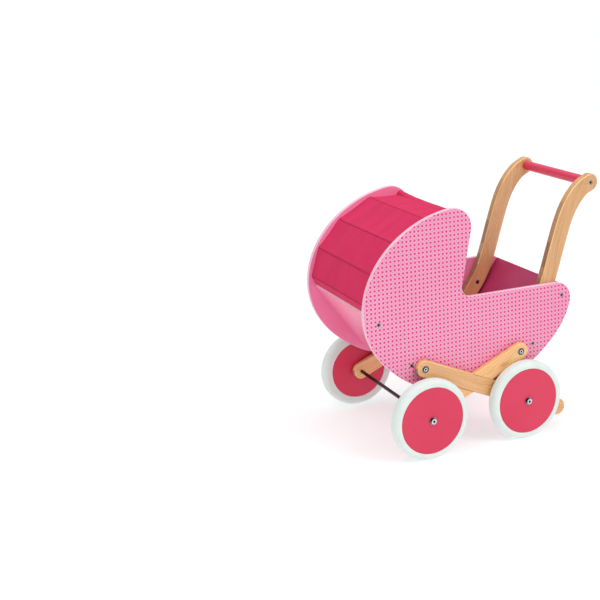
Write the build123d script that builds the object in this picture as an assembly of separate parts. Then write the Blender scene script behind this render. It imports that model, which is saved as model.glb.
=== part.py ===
from build123d import *
import math
import os

# Doll's pram: two shaped side panels with slanted end boards and a floor,
# a fabric hood over dowels, two curved handle arms with a dowel handle, and
# on each side an X-shaped pair of lapped bars that carries two fixed axles
# and four free-running wheels.
#
# Millimetres, +Z up. X is the width (+X is the pram's left side), the hood
# end faces -Y and is the front, the handle is at +Y. The shapes are drawn with
# y = 0, z = 0 on the front axle line and moved at the end, so that the origin
# lies on the floor at the middle of the bounding box.

# ---------------------------------------------------------------- dimensions
WHEEL_R = 75.0            # tyre radius
WHEEL_W = 24.0            # wheel width
DISC_R = 62.0             # visible disc radius, outer side
SEAT_R = 57.4             # tyre seat radius, and visible disc radius inside
WHEELBASE = 201.6
AXLE_D = 7.0
BUSH_D = 11.0
BUSH_BORE = 7.1           # 0.05 mm radial clearance on the axle
X_PANEL_IN = 119.0        # inner face of a side panel
PANEL_T = 9.0
SPACER_T = 1.5            # washer between panel and chassis bar
BAR_T = 12.0
BAR_W = 32.0
BAR_TOP_Z = 88.0          # chassis bolt height above the axle line
SKID_L = 92.0             # length of the long bar past the rear axle
X_WHEEL_IN = 144.0
ARM_T = 16.0
ARM_W = 33.0
HANDLE_D = 19.0
BOARD_T = 9.0
FLOOR_T = 9.0
DOWEL_D = 8.0
FABRIC_T = 1.6
Y_MID = 108.0             # mid plane between the two end boards
Y_SHIFT = -136.13         # moves the model to the bounding box's middle
Z_SHIFT = WHEEL_R

X_PANEL_OUT = X_PANEL_IN + PANEL_T
X_BAR_IN = X_PANEL_OUT + SPACER_T
X_BAR_OUT = X_BAR_IN + BAR_T
X_WHEEL_OUT = X_WHEEL_IN + WHEEL_W
X_ARM_IN = X_PANEL_IN - ARM_T

# side panel outline: points of the front arch and the belly
RIM = [(320.6, 173.3), (315.0, 149.6), (304.5, 128.0), (290.7, 108.4), (274.4, 91.0), (256.5, 75.5),
       (237.2, 61.2), (212.0, 47.4), (184.0, 38.4), (150.0, 33.8), (108.0, 32.5), (66.0, 33.8),
       (32.0, 38.4), (4.0, 47.0), (-20.5, 59.8), (-49.6, 79.6), (-80.6, 110.4), (-103.4, 148.7),
       (-113.5, 192.2), (-108.9, 236.1), (-92.3, 275.6), (-67.4, 308.5), (-37.2, 334.3),
       (-3.3, 353.7), (33.5, 366.9), (66.0, 372.3)]
TOP_C, TOP_R = (66.0, 335.0), 37.3       # top rear corner of the hood arch
REAR_C, REAR_R = (288.4, 173.3), 32.2    # rear corner of the body
RAIL_Z = 205.5                           # top edge of the body
BACK_SLOPE = 0.187                       # run of the arch's back edge per rise
NOTCH_R = 19.0

# screw rows of the end boards (y, z), front; the rear ones mirror about Y_MID
S_UP = (-84.6, 180.1)
S_LOW = (-20.9, 94.4)
BOARD_ABOVE = 20.0
BOARD_BELOW = 40.0
FLOOR_Z = 70.0                           # mid height of the floor board
FLOOR_SCREWS = (50.0, 152.0)

# centre line of a handle arm, from its foot to the handle
ARM_LINE = [(226.0, 122.0), (239.0, 139.5), (252.5, 158.0), (265.0, 180.0), (275.0, 205.0),
            (283.2, 230.0), (292.2, 260.0), (300.0, 285.0), (306.8, 306.0), (314.2, 326.0),
            (324.0, 346.0), (337.0, 364.5), (352.5, 379.5), (369.5, 388.5)]
ARM_SCREWS = ((252.5, 156.4), (231.2, 126.0))
HANDLE_YZ = (369.5, 388.5)

# hood: the outside of the fabric at its rods, from the front board upwards,
# and the rods themselves
HOOD = [(-106.6, 213.4), (-92.0, 267.3), (-48.7, 318.5), (16.0, 355.6), (80.5, 354.9)]
RODS = [(-100.6, 213.8), (-86.5, 264.0), (-44.6, 313.5), (17.6, 349.4), (86.0, 353.6)]
ROLL_C, ROLL_R = (86.0, 355.4), 6.8       # rolled hem round the last rod
FOOT_IN, FOOT_OUT = 3.4, -2.6            # the fabric's run across the front board's top edge
HEM_YZ = (97.5, 331.5)                   # lower edge of the flap behind the last rod

os.makedirs("parts", exist_ok=True)
NODES = {}


def add(name, shape):
    NODES[name] = Pos(0, Y_SHIFT, Z_SHIFT) * shape


def plate(face, x0, t):
    """Extrude a face drawn in (y, z) from x0 to x0 + t."""
    return Pos(x0, 0, 0) * extrude(Plane.YZ * face, amount=t)


def rod(x0, x1, y, z, d):
    """Round bar along X between x0 and x1."""
    return Pos((x0 + x1) / 2, y, z) * (Rot(0, 90, 0) * Cylinder(d / 2, abs(x1 - x0)))


def hexbar(x0, x1, y, z, af):
    """Hexagonal bar along X, af across flats."""
    return Pos(min(x0, x1), 0, 0) * extrude(Plane.YZ * (Pos(y, z) * RegularPolygon(af / math.sqrt(3), 6)), amount=abs(x1 - x0))


def flip(shape):
    return mirror(shape, about=Plane.YZ)


def group(shapes):
    return Compound(children=[s for s in shapes])


def outline(pts):
    """Closed face from straight runs."""
    return make_face(Polyline(*pts, close=True))


def smooth(pts, t_first, t_last):
    """Smooth run through the points, as pairs of tangent arcs."""
    tans = [t_first]
    for i in range(1, len(pts) - 1):
        a, b = unit(pts[i - 1], pts[i]), unit(pts[i], pts[i + 1])
        la = math.dist(pts[i - 1], pts[i])
        lb = math.dist(pts[i], pts[i + 1])
        ty, tz = a[0] * lb + b[0] * la, a[1] * lb + b[1] * la
        l = math.hypot(ty, tz)
        tans.append((ty / l, tz / l))
    tans.append(t_last)
    edges = []
    for p, q, u, v in zip(pts, pts[1:], tans, tans[1:]):
        w = (q[0] - p[0], q[1] - p[1])
        ww = w[0] ** 2 + w[1] ** 2
        wt = w[0] * (u[0] + v[0]) + w[1] * (u[1] + v[1])
        c = 2 * (1 - (u[0] * v[0] + u[1] * v[1]))
        if c < 1e-9:
            edges.append(Line(p, q))
            continue
        k = (-wt + math.sqrt(wt * wt + c * ww)) / c
        m = ((p[0] + q[0] + k * (u[0] - v[0])) / 2, (p[1] + q[1] + k * (u[1] - v[1])) / 2)
        edges.append(arc_from(p, u, m))
        edges.append(arc_from(q, (-v[0], -v[1]), m))
    return edges


def arc_from(p, u, q):
    """Arc from p with direction u to q."""
    w = (q[0] - p[0], q[1] - p[1])
    cross = u[0] * w[1] - u[1] * w[0]
    if abs(cross) < 1e-7 * (w[0] ** 2 + w[1] ** 2):
        return Line(p, q)
    r = (w[0] ** 2 + w[1] ** 2) / (2 * cross)
    c = (p[0] - u[1] * r, p[1] + u[0] * r)
    a0 = math.atan2(p[1] - c[1], p[0] - c[0])
    a1 = math.atan2(q[1] - c[1], q[0] - c[0])
    da = (a1 - a0 + math.pi) % (2 * math.pi) - math.pi
    am = a0 + da / 2
    return ThreePointArc(p, (c[0] + abs(r) * math.cos(am), c[1] + abs(r) * math.sin(am)), q)


def unit(a, b):
    l = math.hypot(b[0] - a[0], b[1] - a[1])
    return ((b[0] - a[0]) / l, (b[1] - a[1]) / l)


# ---------------------------------------------------------------- side panels
def panel_face():
    k = math.hypot(1.0, BACK_SLOPE)
    n = (1.0 / k, -BACK_SLOPE / k)                     # outward normal of the back edge
    t1 = (TOP_C[0] + TOP_R * n[0], TOP_C[1] + TOP_R * n[1])
    corner = (t1[0] - BACK_SLOPE * (t1[1] - RAIL_Z), RAIL_Z)
    # concave corner between the back edge and the top rail
    cz = RAIL_Z + NOTCH_R
    cy = t1[0] - BACK_SLOPE * (t1[1] - cz) + NOTCH_R * k
    a = (cy - NOTCH_R * n[0], cz - NOTCH_R * n[1])
    b = (cy, RAIL_Z)
    mid_dir = (-(n[0] + 0.0), -(n[1] + 1.0))
    ml = math.hypot(*mid_dir)
    m = (cy + NOTCH_R * mid_dir[0] / ml, cz + NOTCH_R * mid_dir[1] / ml)
    s45 = math.sqrt(0.5)
    rim = smooth(RIM, (0.0, -1.0), (1.0, 0.0))
    ang = 0.5 * (math.pi / 2 + math.atan2(n[1], n[0]))
    top = ThreePointArc(RIM[-1], (TOP_C[0] + TOP_R * math.cos(ang), TOP_C[1] + TOP_R * math.sin(ang)), t1)
    back = Line(t1, a)
    notch = ThreePointArc(a, m, b)
    rail = Line(b, (REAR_C[0], RAIL_Z))
    rear = ThreePointArc((REAR_C[0], RAIL_Z), (REAR_C[0] + REAR_R * s45, REAR_C[1] + REAR_R * s45), RIM[0])
    return make_face(rim + [top, back, notch, rail, rear])


mir = lambda p: (2 * Y_MID - p[0], p[1])
BOARD_SCREWS = [S_UP, S_LOW, mir(S_UP), mir(S_LOW)]
CHASSIS_BOLTS = [(0.0, BAR_TOP_Z), (WHEELBASE, BAR_TOP_Z)]

panel = plate(panel_face(), X_PANEL_IN, PANEL_T)
for (y, z) in BOARD_SCREWS:
    panel -= rod(X_PANEL_IN - 1, X_PANEL_OUT + 1, y, z, 5.1)
    panel -= rod(X_PANEL_OUT - 2.2, X_PANEL_OUT + 1, y, z, 8.1)
for y in FLOOR_SCREWS:
    panel -= rod(X_PANEL_IN - 1, X_PANEL_OUT + 1, y, FLOOR_Z, 5.1)
    panel -= rod(X_PANEL_OUT - 2.2, X_PANEL_OUT + 1, y, FLOOR_Z, 8.1)
for (y, z) in CHASSIS_BOLTS:
    panel -= rod(X_PANEL_IN - 1, X_PANEL_OUT + 1, y, z, 8.1)
for (y, z) in ARM_SCREWS:
    panel -= rod(X_PANEL_IN - 1, X_PANEL_IN + 6.5, y, z, 4.1)
for (y, z) in RODS:
    panel -= rod(X_PANEL_IN - 1, X_PANEL_IN + 5.0, y, z, DOWEL_D + 0.1)
panel = fillet(max(panel.faces().filter_by(Axis.X), key=lambda f: f.center().X).outer_wire().edges(), 1.2)
panel = fillet(min(panel.faces().filter_by(Axis.X), key=lambda f: f.center().X).outer_wire().edges(), 1.2)
add("side_panel_left", panel)
add("side_panel_right", flip(panel))

# ---------------------------------------------------------------- end boards and floor
dy, dz = S_LOW[0] - S_UP[0], S_LOW[1] - S_UP[1]
dl = math.hypot(dy, dz)
d = (dy / dl, dz / dl)
n_in = (-d[1], d[0])                                   # towards the inside of the cradle
h = BOARD_T / 2


def along(p, s, o):
    return (p[0] + d[0] * s + n_in[0] * o, p[1] + d[1] * s + n_in[1] * o)


front = [along(S_UP, -BOARD_ABOVE, -h), along(S_UP, -BOARD_ABOVE, h), along(S_LOW, BOARD_BELOW, h), along(S_LOW, BOARD_BELOW, -h)]
LW = 2 * X_PANEL_IN


def board(pts, screws):
    b = plate(outline(pts), -X_PANEL_IN, LW)
    b = fillet(b.edges().filter_by(Axis.X), 1.5)
    for (y, z) in screws:
        b -= rod(-X_PANEL_IN - 1, -X_PANEL_IN + 32, y, z, 5.1)
        b -= rod(X_PANEL_IN + 1, X_PANEL_IN - 32, y, z, 5.1)
    return b


add("front_board", board(front, [S_UP, S_LOW]))
add("rear_board", board([mir(p) for p in front], [mir(S_UP), mir(S_LOW)]))

# the floor board rests between the end boards
t_low = (S_LOW[1] + n_in[1] * h - (FLOOR_Z - FLOOR_T / 2)) / -d[1]
y_end = S_LOW[0] + n_in[0] * h + d[0] * t_low + 0.3
floor = [(y_end, FLOOR_Z - FLOOR_T / 2), (2 * Y_MID - y_end, FLOOR_Z - FLOOR_T / 2),
         (2 * Y_MID - y_end, FLOOR_Z + FLOOR_T / 2), (y_end, FLOOR_Z + FLOOR_T / 2)]
fb = plate(outline(floor), -X_PANEL_IN, LW)
for y in FLOOR_SCREWS:
    fb -= rod(-X_PANEL_IN - 1, -X_PANEL_IN + 32, y, FLOOR_Z, 5.1)
    fb -= rod(X_PANEL_IN + 1, X_PANEL_IN - 32, y, FLOOR_Z, 5.1)
add("floor_board", fb)


def wood_screw(y, z):
    """Countersunk-pattern furniture screw, head flush with the panel's outside."""
    s = rod(X_PANEL_OUT - 2.0, X_PANEL_OUT - 0.2, y, z, 7.9)
    s += rod(X_PANEL_OUT - 40.0, X_PANEL_OUT - 1.0, y, z, 5.0)
    s -= hexbar(X_PANEL_OUT - 1.5, X_PANEL_OUT + 1, y, z, 4.0)
    return s


screws = [wood_screw(y, z) for (y, z) in BOARD_SCREWS] + [wood_screw(y, FLOOR_Z) for y in FLOOR_SCREWS]
add("panel_screws_left", group(screws))
add("panel_screws_right", group([flip(s) for s in screws]))

# ---------------------------------------------------------------- handle arms
def arm_edges():
    n = len(ARM_LINE)
    left, right = [], []
    for i, p in enumerate(ARM_LINE):
        a = ARM_LINE[max(i - 1, 0)]
        b = ARM_LINE[min(i + 1, n - 1)]
        ty, tz = b[0] - a[0], b[1] - a[1]
        l = math.hypot(ty, tz)
        ty, tz = ty / l, tz / l
        left.append((p[0] - tz * ARM_W / 2, p[1] + ty * ARM_W / 2))
        right.append((p[0] + tz * ARM_W / 2, p[1] - ty * ARM_W / 2))
    return left, right


al, ar = arm_edges()
t0 = unit(ARM_LINE[0], ARM_LINE[1])
t1 = unit(ARM_LINE[-2], ARM_LINE[-1])
foot_tip = (ARM_LINE[0][0] - t0[0] * ARM_W / 2, ARM_LINE[0][1] - t0[1] * ARM_W / 2)
top_tip = (ARM_LINE[-1][0] + t1[0] * ARM_W / 2, ARM_LINE[-1][1] + t1[1] * ARM_W / 2)
arm_face = make_face(smooth(al, t0, t1) + smooth(ar, t0, t1)
                     + [ThreePointArc(al[-1], top_tip, ar[-1]), ThreePointArc(ar[0], foot_tip, al[0])])
arm = plate(arm_face, X_ARM_IN, ARM_T)
arm = fillet(arm.faces().sort_by(Axis.X)[-1].outer_wire().edges(), 3.0)
arm = fillet(arm.faces().sort_by(Axis.X)[0].outer_wire().edges(), 3.0)
arm -= rod(X_ARM_IN - 1, X_PANEL_IN + 1, HANDLE_YZ[0], HANDLE_YZ[1], 6.1)
arm -= rod(X_PANEL_IN - 3.0, X_PANEL_IN + 1, HANDLE_YZ[0], HANDLE_YZ[1], 9.1)
for (y, z) in ARM_SCREWS:
    arm -= rod(X_ARM_IN - 1, X_PANEL_IN + 1, y, z, 4.6)
    arm -= rod(X_ARM_IN - 1, X_ARM_IN + 3.0, y, z, 9.1)
add("handle_arm_left", arm)
add("handle_arm_right", flip(arm))


def arm_screw(y, z):
    s = rod(X_ARM_IN + 0.4, X_ARM_IN + 2.9, y, z, 9.0)
    s += rod(X_ARM_IN + 2.0, X_PANEL_IN + 6.0, y, z, 4.0)
    s -= hexbar(X_ARM_IN - 1, X_ARM_IN + 2.2, y, z, 4.0)
    return s


def handle_screw():
    y, z = HANDLE_YZ
    s = rod(X_PANEL_IN - 2.9, X_PANEL_IN - 0.3, y, z, 9.0)
    s += rod(X_ARM_IN - 34.0, X_PANEL_IN - 1.5, y, z, 6.0)
    s -= hexbar(X_PANEL_IN - 2.4, X_PANEL_IN + 1, y, z, 4.0)
    return s


a_s = [arm_screw(y, z) for (y, z) in ARM_SCREWS]
add("arm_screws_left", group(a_s))
add("arm_screws_right", group([flip(s) for s in a_s]))
add("handle_screws", group([handle_screw(), flip(handle_screw())]))
grip = rod(-X_ARM_IN, X_ARM_IN, *HANDLE_YZ, HANDLE_D)
grip -= rod(X_ARM_IN - 36.0, X_ARM_IN + 1, *HANDLE_YZ, 6.1)
grip -= rod(-X_ARM_IN + 36.0, -X_ARM_IN - 1, *HANDLE_YZ, 6.1)
add("handle_bar", grip)

# ---------------------------------------------------------------- chassis bars
CROSS = (WHEELBASE / 2, BAR_TOP_Z / 2)
bar_run = math.hypot(WHEELBASE, BAR_TOP_Z)
bar_ang = math.degrees(math.atan2(BAR_TOP_Z, WHEELBASE))


def bar_solid(p0, angle, length, x0, t, w=BAR_W):
    """Round-ended bar from p0 at an angle in the y-z plane."""
    f = Pos(p0[0], p0[1]) * (Rot(0, 0, angle) * (Pos(length / 2, 0) * SlotCenterToCenter(length, w)))
    return plate(f, x0, t)


def soft(b, r):
    b = fillet(b.faces().sort_by(Axis.X)[-1].outer_wire().edges(), r)
    return fillet(b.faces().sort_by(Axis.X)[0].outer_wire().edges(), r)


P_LONG = (0.0, BAR_TOP_Z)
P_SHORT = (0.0, 0.0)
long_bar = bar_solid(P_LONG, -bar_ang, bar_run + SKID_L, X_BAR_IN, BAR_T)
short_bar = bar_solid(P_SHORT, bar_ang, bar_run, X_BAR_IN, BAR_T)
for b, bolt, axles in ((0, CHASSIS_BOLTS[0], (WHEELBASE,)), (1, CHASSIS_BOLTS[1], (0.0,))):
    cut = [rod(X_BAR_IN - 1, X_BAR_OUT + 1, *bolt, 6.2), rod(X_BAR_OUT - 3.0, X_BAR_OUT + 1, *bolt, 13.8)]
    cut += [rod(X_BAR_IN - 1, X_BAR_OUT + 1, y, 0.0, AXLE_D) for y in axles]
    if b == 0:
        for c in cut:
            long_bar -= c
    else:
        for c in cut:
            short_bar -= c
long_bar = soft(long_bar, 2.6)
short_bar = soft(short_bar, 2.6)
# half lap: the long bar keeps its outer half, the short bar its inner half
half = BAR_T / 2
long_bar -= bar_solid(P_SHORT, bar_ang, bar_run, X_BAR_IN - 1, half + 1)
short_bar -= bar_solid(P_LONG, -bar_ang, bar_run, X_BAR_IN + half, half + 1)
for nm, b in (("long", long_bar), ("short", short_bar)):
    add("chassis_bar_%s_left" % nm, b)
    add("chassis_bar_%s_right" % nm, flip(b))


def chassis_bolt(y, z):
    s = rod(X_BAR_OUT - 2.9, X_BAR_OUT - 1.0, y, z, 11.0)
    s += Pos(X_BAR_OUT - 1.0, y, z) * (Rot(0, 90, 0) * Cone(5.1, 3.4, 1.9, align=(Align.CENTER, Align.CENTER, Align.MIN)))
    s += rod(X_PANEL_IN + 0.8, X_BAR_OUT - 2.0, y, z, 6.0)
    s -= hexbar(X_BAR_OUT - 2.4, X_BAR_OUT + 3, y, z, 4.0)
    return s


def panel_nut(y, z):
    s = rod(X_PANEL_IN - 1.6, X_PANEL_IN, y, z, 14.0) + rod(X_PANEL_IN, X_PANEL_IN + 8.5, y, z, 8.0)
    s -= rod(X_PANEL_IN + 0.5, X_PANEL_IN + 9.0, y, z, 6.1)
    s -= hexbar(X_PANEL_IN - 2.0, X_PANEL_IN - 0.7, y, z, 4.0)
    return s


def spacer(y, z):
    return rod(X_PANEL_OUT, X_BAR_IN, y, z, 16.0) - rod(X_PANEL_OUT - 1, X_BAR_IN + 1, y, z, 6.2)


for nm, fn in (("chassis_bolts", chassis_bolt), ("panel_nuts", panel_nut), ("chassis_spacers", spacer)):
    both = [fn(y, z) for (y, z) in CHASSIS_BOLTS]
    add(nm + "_left", group(both))
    add(nm + "_right", group([flip(s) for s in both]))

# ---------------------------------------------------------------- axles
X_AXLE = X_WHEEL_OUT + 0.2


def axle(y):
    a = rod(-X_AXLE, X_AXLE, y, 0, AXLE_D)
    a -= rod(X_AXLE - 15, X_AXLE + 1, y, 0, 4.1)
    a -= rod(-X_AXLE - 1, -X_AXLE + 15, y, 0, 4.1)
    return a


def axle_screw(y):
    s = rod(X_AXLE + 1.0, X_AXLE + 4.6, y, 0, 11.0)
    s = fillet(s.edges().sort_by(Axis.X)[-1], 0.8)
    s += rod(X_AXLE - 13, X_AXLE + 1.5, y, 0, 4.0)
    s -= hexbar(X_AXLE + 2.4, X_AXLE + 9, y, 0, 4.5)
    return s


def outer_washer(y):
    return rod(X_AXLE, X_AXLE + 1.0, y, 0, 14.0) - rod(X_AXLE - 1, X_AXLE + 2, y, 0, 4.2)


def inner_washer(y):
    return rod(X_BAR_OUT, X_WHEEL_IN - 0.2, y, 0, 16.0) - rod(X_BAR_OUT - 1, X_WHEEL_IN + 1, y, 0, AXLE_D + 0.06)


for nm, y in (("front", 0.0), ("rear", WHEELBASE)):
    add("axle_" + nm, axle(y))
    add("axle_screws_" + nm, group([axle_screw(y), flip(axle_screw(y))]))
add("axle_washers_outer", group([outer_washer(0.0), flip(outer_washer(0.0)), outer_washer(WHEELBASE), flip(outer_washer(WHEELBASE))]))
add("axle_washers_inner", group([inner_washer(0.0), flip(inner_washer(0.0)), inner_washer(WHEELBASE), flip(inner_washer(WHEELBASE))]))

# ---------------------------------------------------------------- wheels
# sections are drawn as (x, r) and turned about the axle line
def turned(face):
    return revolve(face, Axis.X)


DISC = [(X_WHEEL_IN, BUSH_D / 2), (X_WHEEL_IN, SEAT_R - 1.2), (X_WHEEL_IN + 1.2, SEAT_R), (X_WHEEL_OUT - 3, SEAT_R),
        (X_WHEEL_OUT - 3, DISC_R), (X_WHEEL_OUT - 1.0, DISC_R), (X_WHEEL_OUT, DISC_R - 1.0), (X_WHEEL_OUT, BUSH_D / 2)]
disc = turned(outline(DISC))
bush = turned(outline([(X_WHEEL_IN, BUSH_BORE / 2), (X_WHEEL_OUT, BUSH_BORE / 2), (X_WHEEL_OUT, BUSH_D / 2), (X_WHEEL_IN, BUSH_D / 2)]))

TR = 9.0                                               # tyre shoulder radius
s45 = math.sqrt(0.5)
xi, xo = X_WHEEL_IN - 0.0, X_WHEEL_OUT
tyre_face = make_face([
    Line((xi + 0.6, SEAT_R), (xo - 3, SEAT_R)),
    Line((xo - 3, SEAT_R), (xo - 3, DISC_R)),
    Line((xo - 3, DISC_R), (xo - 0.3, DISC_R)),
    Line((xo - 0.3, DISC_R), (xo, DISC_R + 0.6)),
    Line((xo, DISC_R + 0.6), (xo, WHEEL_R - TR)),
    ThreePointArc((xo, WHEEL_R - TR), (xo - TR + TR * s45, WHEEL_R - TR + TR * s45), (xo - TR, WHEEL_R)),
    Line((xo - TR, WHEEL_R), (xi + TR, WHEEL_R)),
    ThreePointArc((xi + TR, WHEEL_R), (xi + TR - TR * s45, WHEEL_R - TR + TR * s45), (xi, WHEEL_R - TR)),
    Line((xi, WHEEL_R - TR), (xi, SEAT_R + 0.6)),
    Line((xi, SEAT_R + 0.6), (xi + 0.6, SEAT_R)),
])
tyre = turned(tyre_face)
for nm, y in (("front", 0.0), ("rear", WHEELBASE)):
    for side, fn in (("left", lambda s: s), ("right", flip)):
        add("wheel_disc_%s_%s" % (nm, side), Pos(0, y, 0) * fn(disc))
        add("wheel_tyre_%s_%s" % (nm, side), Pos(0, y, 0) * fn(tyre))
        add("wheel_bushing_%s_%s" % (nm, side), Pos(0, y, 0) * fn(bush))

# ---------------------------------------------------------------- hood
for i, (y, z) in enumerate(RODS):
    add("hood_rod_%d" % (i + 1), rod(-X_PANEL_IN - 4.5, X_PANEL_IN + 4.5, y, z, DOWEL_D))


def inset(pts, t, side):
    """Offset an open run of points by t to one side, mitred at the corners."""
    out = []
    for i, p in enumerate(pts):
        dirs = []
        if i > 0:
            dirs.append(unit(pts[i - 1], p))
        if i < len(pts) - 1:
            dirs.append(unit(p, pts[i + 1]))
        ny = sum(-q[1] for q in dirs)
        nz = sum(q[0] for q in dirs)
        l = math.hypot(ny, nz)
        ny, nz = ny / l, nz / l
        c = abs(-dirs[0][1] * ny + dirs[0][0] * nz)
        out.append((p[0] + side * ny * t / c, p[1] + side * nz * t / c))
    return out


HW = X_PANEL_IN - 0.6
foot = [along(S_UP, -BOARD_ABOVE - 0.1, FOOT_IN), along(S_UP, -BOARD_ABOVE - 0.1, FOOT_OUT)]
outer = foot + HOOD
inner = inset(outer, FABRIC_T, -1.0)
sheet = plate(outline(outer + list(reversed(inner))), -HW, 2 * HW)
ry, rz = ROLL_C
roll = rod(-HW, HW, ry, rz, 2 * ROLL_R)
hy, hz = HEM_YZ[0] - ry, HEM_YZ[1] - rz
ha = math.atan2(hz, hy) + math.acos(ROLL_R / math.hypot(hy, hz))
flap = [(ry + ROLL_R * math.cos(ha), rz + ROLL_R * math.sin(ha)), HEM_YZ]
flap = plate(outline(flap + list(reversed(inset(flap, FABRIC_T, -1.0)))), -HW, 2 * HW)
hood = sheet + roll + flap
hood -= rod(-HW - 1, HW + 1, *RODS[-1], DOWEL_D + 0.6)
add("hood_fabric", hood)

# ---------------------------------------------------------------- write
lo = [1e9] * 3
hi = [-1e9] * 3
for name, shape in NODES.items():
    export_step(shape, "parts/%s.step" % name)
    bb = shape.bounding_box()
    for k, (a, b) in enumerate(((bb.min.X, bb.max.X), (bb.min.Y, bb.max.Y), (bb.min.Z, bb.max.Z))):
        lo[k] = min(lo[k], a)
        hi[k] = max(hi[k], b)
print("nodes", len(NODES))
print("box", [round(v, 3) for v in lo], [round(v, 3) for v in hi])
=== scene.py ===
import bpy
import math
import random
from mathutils import Matrix, Vector, noise


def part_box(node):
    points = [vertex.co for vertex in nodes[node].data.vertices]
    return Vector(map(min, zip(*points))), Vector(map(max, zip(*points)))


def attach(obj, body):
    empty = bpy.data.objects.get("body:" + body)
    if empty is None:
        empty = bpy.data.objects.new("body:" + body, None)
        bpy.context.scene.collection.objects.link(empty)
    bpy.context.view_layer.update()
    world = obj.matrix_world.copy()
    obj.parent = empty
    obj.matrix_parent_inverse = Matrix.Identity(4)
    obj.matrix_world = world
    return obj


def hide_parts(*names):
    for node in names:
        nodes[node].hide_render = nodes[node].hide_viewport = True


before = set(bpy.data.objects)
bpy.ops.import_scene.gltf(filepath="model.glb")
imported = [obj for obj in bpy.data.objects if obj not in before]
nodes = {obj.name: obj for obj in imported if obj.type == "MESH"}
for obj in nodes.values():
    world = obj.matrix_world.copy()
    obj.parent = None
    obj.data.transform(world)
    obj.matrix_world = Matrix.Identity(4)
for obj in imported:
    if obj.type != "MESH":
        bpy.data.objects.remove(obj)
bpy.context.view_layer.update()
scene = bpy.context.scene
scene.view_settings.view_transform = "Standard"
scene.view_settings.look = "None"

MM = 0.001


# ------------------------------------------------------------------ node helpers
def lin(r, g, b):
    """sRGB 0-255 to a linear colour."""
    out = []
    for v in (r, g, b):
        v = v / 255.0
        out.append(v / 12.92 if v <= 0.04045 else ((v + 0.055) / 1.055) ** 2.4)
    return (out[0], out[1], out[2], 1.0)


class Mat:
    def __init__(self, name, rough=0.5):
        self.m = bpy.data.materials.new(name)
        self.m.use_nodes = True
        self.nt = self.m.node_tree
        self.b = self.nt.nodes["Principled BSDF"]
        self.b.inputs["Roughness"].default_value = rough

    def add(self, kind, **inputs):
        n = self.nt.nodes.new(kind)
        for k, v in inputs.items():
            setattr(n, k, v)
        return n

    def put(self, node, key, value):
        sock = node.inputs[key]
        if isinstance(value, bpy.types.NodeSocket):
            self.nt.links.new(value, sock)
        else:
            sock.default_value = value

    def coord(self):
        return self.add("ShaderNodeTexCoord").outputs["Object"]

    def xyz(self, vec):
        s = self.add("ShaderNodeSeparateXYZ")
        self.put(s, 0, vec)
        return s.outputs[0], s.outputs[1], s.outputs[2]

    def vec(self, x=0.0, y=0.0, z=0.0):
        c = self.add("ShaderNodeCombineXYZ")
        self.put(c, 0, x)
        self.put(c, 1, y)
        self.put(c, 2, z)
        return c.outputs[0]

    def math(self, op, a, b=None, c=None, clamp=False):
        n = self.add("ShaderNodeMath", operation=op, use_clamp=clamp)
        self.put(n, 0, a)
        if b is not None:
            self.put(n, 1, b)
        if c is not None:
            self.put(n, 2, c)
        return n.outputs[0]

    def vmath(self, op, a, b=None, scale=None):
        n = self.add("ShaderNodeVectorMath", operation=op)
        self.put(n, 0, a)
        if b is not None:
            self.put(n, 1, b)
        if scale is not None:
            self.put(n, "Scale", scale)
        return n.outputs["Value"] if op in ("LENGTH", "DOT_PRODUCT", "DISTANCE") else n.outputs[0]

    def step(self, v, lo, hi, a=0.0, b=1.0):
        n = self.add("ShaderNodeMapRange", interpolation_type="SMOOTHSTEP")
        self.put(n, 0, v)
        self.put(n, 1, lo)
        self.put(n, 2, hi)
        self.put(n, 3, a)
        self.put(n, 4, b)
        return n.outputs[0]

    def noise(self, vec, scale, detail=3.0, rough=0.55, distort=0.0):
        n = self.add("ShaderNodeTexNoise")
        self.put(n, "Vector", vec)
        self.put(n, "Scale", scale)
        self.put(n, "Detail", detail)
        self.put(n, "Roughness", rough)
        self.put(n, "Distortion", distort)
        return n.outputs[0]

    def mix(self, fac, a, b, kind="MIX"):
        n = self.add("ShaderNodeMix", data_type="RGBA", blend_type=kind)
        self.put(n, 0, fac)
        self.put(n, 6, a)
        self.put(n, 7, b)
        return n.outputs[2]

    def mixf(self, fac, a, b):
        n = self.add("ShaderNodeMix", data_type="FLOAT")
        self.put(n, 0, fac)
        self.put(n, 2, a)
        self.put(n, 3, b)
        return n.outputs[0]

    def bump(self, height, dist, strength=1.0, normal=None):
        n = self.add("ShaderNodeBump")
        self.put(n, "Height", height)
        self.put(n, "Distance", dist)
        self.put(n, "Strength", strength)
        if normal is not None:
            self.put(n, "Normal", normal)
        return n.outputs[0]

    def done(self, color=None, rough=None, normal=None):
        if color is not None:
            self.put(self.b, "Base Color", color)
        if rough is not None:
            self.put(self.b, "Roughness", rough)
        if normal is not None:
            self.put(self.b, "Normal", normal)
        return self.m


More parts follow.
